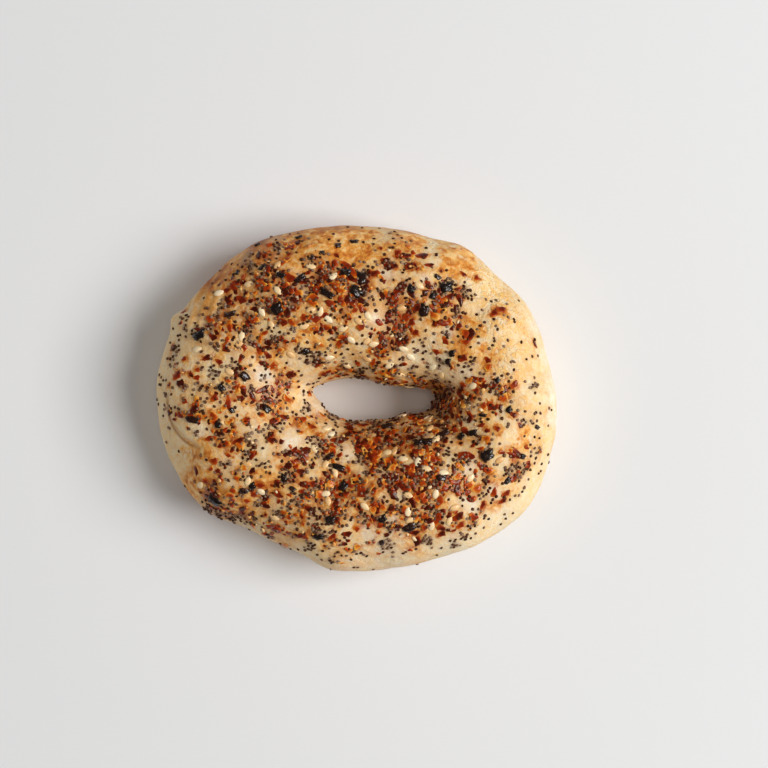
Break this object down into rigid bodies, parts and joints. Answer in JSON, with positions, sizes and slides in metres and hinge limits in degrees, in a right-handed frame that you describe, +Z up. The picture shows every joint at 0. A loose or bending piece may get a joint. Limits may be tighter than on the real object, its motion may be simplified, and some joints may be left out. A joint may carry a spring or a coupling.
{
  "type": "bagel",
  "caption": "Hand-rolled ring of baked dough with a long narrow hole, a flat base and a crown crusted with seeds, onion flakes and toasted garlic.",
  "frame": {"origin": "middle of the flat base, under the middle of the ring's length and width", "axes": "+X along the ring's length and its long narrow hole, +Y across its width, +Z up through the crown"},
  "size_m": [0.1201, 0.104, 0.0358],
  "materials": {
    "crust": "satin golden baked crust, paler on the rim and in the hole"
  },
  "bodies": {
    "root": {"bagel": "crust"}
  },
  "joints": []
}
